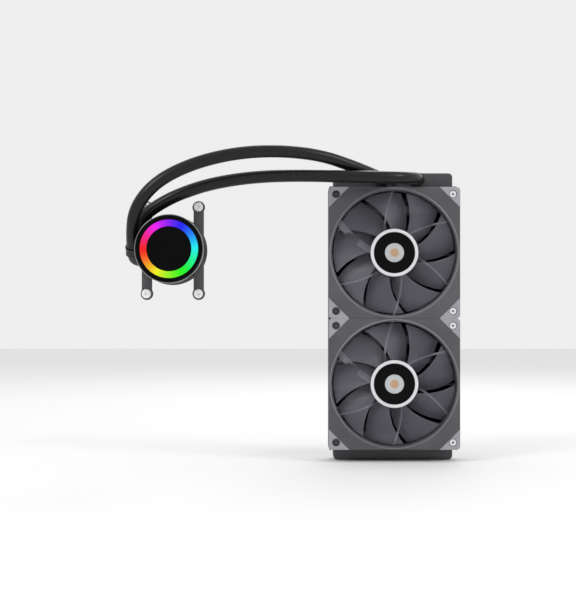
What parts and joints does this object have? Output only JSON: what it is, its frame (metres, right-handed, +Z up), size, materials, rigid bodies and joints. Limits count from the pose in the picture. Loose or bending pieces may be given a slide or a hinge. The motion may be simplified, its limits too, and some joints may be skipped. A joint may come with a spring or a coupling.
{
  "type": "closed-loop liquid cooling radiator with twin fans and pump head",
  "caption": "Closed-loop liquid cooler: an upright radiator with paired square fans, black hoses and a round pump head with a lit colour ring.",
  "frame": {"origin": "centre of the case screw pattern on the radiator's back face", "axes": "+Y from the fans towards the case panel, +Z up along the radiator, +X to the right seen from the fans"},
  "size_m": [0.3502, 0.1401, 0.3317],
  "materials": {
    "tank_paint": "semi-matt black paint on pressed aluminium",
    "core_paint": "thin matt black paint on tubes and fins",
    "rail_paint": "semi-matt black paint",
    "barb_metal": "dark anodised",
    "ferrule_metal": "black crimped sleeve",
    "hose_rubber": "smooth black rubber with a soft sheen",
    "frame_plastic": "fine textured dark grey",
    "pad_rubber": "light grey, matt",
    "blade_plastic": "smoky, slightly see-through",
    "hub_trim": "satin silver white",
    "hub_black": "gloss black",
    "medallion_metal": "turned face with a copper-coloured centre",
    "magnet": "bonded ferrite",
    "steel": "ground",
    "bronze": "sintered",
    "windings": "enamelled copper on laminated steel",
    "board": "solder mask",
    "clip_plastic": "dark grey",
    "screw_bright": "bright nickel plate",
    "screw_dark": "black oxide",
    "copper": "fine ground copper",
    "pump_plastic": "moulded black",
    "face_gloss": "gloss black",
    "rim_metal": "dark anodised with a bright edge",
    "light": "frosted, lit from behind in a colour wheel",
    "seal_rubber": "matt black",
    "impeller_plastic": "natural",
    "ceramic": "polished",
    "bracket_paint": "dark grey, satin",
    "spring_steel": "spring wire"
  },
  "bodies": {
    "loop": {"bottom_tank": "tank_paint", "bracket_spring_1": "spring_steel", "bracket_spring_2": "spring_steel", "bracket_spring_3": "spring_steel", "bracket_spring_4": "spring_steel", "bright_fan_screws": "screw_bright", "cold_plate": "copper", "cold_plate_screws": "steel", "coolant_tubes": "core_paint", "cooling_fins": "core_paint", "dark_fan_screws": "screw_dark", "face_disc": "face_gloss", "fan_bearing_sleeves": "bronze", "fan_circuit_boards": "board", "fan_corner_pads": "pad_rubber", "fan_lead_clips": "clip_plastic", "fan_motor_cores": "windings", "fan_motor_mounts": "frame_plastic", "fill_plug": "screw_dark", "header_plates": "tank_paint", "hose_barbs": "barb_metal", "hose_ferrules": "ferrule_metal", "impeller_pin": "ceramic", "inner_hose": "hose_rubber", "inner_swivel_elbow": "pump_plastic", "light_ring": "light", "lower_fan_frame": "frame_plastic", "mounting_bracket": "bracket_paint", "outer_hose": "hose_rubber", "outer_swivel_elbow": "pump_plastic", "pump_base": "pump_plastic", "pump_boards": "board", "pump_housing": "pump_plastic", "pump_seals": "seal_rubber", "pump_stator": "windings", "rim_ring": "rim_metal", "rotor_can": "impeller_plastic", "side_rails": "rail_paint", "top_tank": "tank_paint", "upper_fan_frame": "frame_plastic"},
    "upper_fan_rotor": {"upper_fan_rotor": "blade_plastic", "upper_fan_blades": "blade_plastic", "upper_fan_hub_ring": "hub_trim", "upper_fan_hub_disc": "hub_black", "upper_fan_medallion": "medallion_metal", "upper_fan_magnet": "magnet", "upper_fan_shaft": "steel"},
    "lower_fan_rotor": {"lower_fan_rotor": "blade_plastic", "lower_fan_blades": "blade_plastic", "lower_fan_hub_ring": "hub_trim", "lower_fan_hub_disc": "hub_black", "lower_fan_medallion": "medallion_metal", "lower_fan_magnet": "magnet", "lower_fan_shaft": "steel"},
    "pump_impeller": {"impeller": "impeller_plastic", "impeller_magnet": "magnet"},
    "bracket_screw_1": {"bracket_screw_1": "screw_bright"},
    "bracket_screw_2": {"bracket_screw_2": "screw_bright"},
    "bracket_screw_3": {"bracket_screw_3": "screw_bright"},
    "bracket_screw_4": {"bracket_screw_4": "screw_bright"}
  },
  "joints": [
    {"name": "upper_fan_spin", "type": "hinge", "parent": "loop", "child": "upper_fan_rotor", "pos_m": [0, -0.04, 0.07], "axis": [0, -1, 0], "continuous": true},
    {"name": "lower_fan_spin", "type": "hinge", "parent": "loop", "child": "lower_fan_rotor", "pos_m": [0, -0.04, -0.07], "axis": [0, -1, 0], "continuous": true},
    {"name": "pump_spin", "type": "hinge", "parent": "loop", "child": "pump_impeller", "pos_m": [-0.2335, -0.1, 0.071], "axis": [0, -1, 0], "continuous": true},
    {"name": "bracket_screw_1_press", "type": "slide", "parent": "loop", "child": "bracket_screw_1", "axis": [0, 1, 0], "range_m": [0, 0.003], "stiffness_N_per_m": 1500, "springref_m": -0.001, "deforming": ["bracket_spring_1"]},
    {"name": "bracket_screw_2_press", "type": "slide", "parent": "loop", "child": "bracket_screw_2", "axis": [0, 1, 0], "range_m": [0, 0.003], "stiffness_N_per_m": 1500, "springref_m": -0.001, "deforming": ["bracket_spring_2"]},
    {"name": "bracket_screw_3_press", "type": "slide", "parent": "loop", "child": "bracket_screw_3", "axis": [0, 1, 0], "range_m": [0, 0.003], "stiffness_N_per_m": 1500, "springref_m": -0.001, "deforming": ["bracket_spring_3"]},
    {"name": "bracket_screw_4_press", "type": "slide", "parent": "loop", "child": "bracket_screw_4", "axis": [0, 1, 0], "range_m": [0, 0.003], "stiffness_N_per_m": 1500, "springref_m": -0.001, "deforming": ["bracket_spring_4"]}
  ]
}
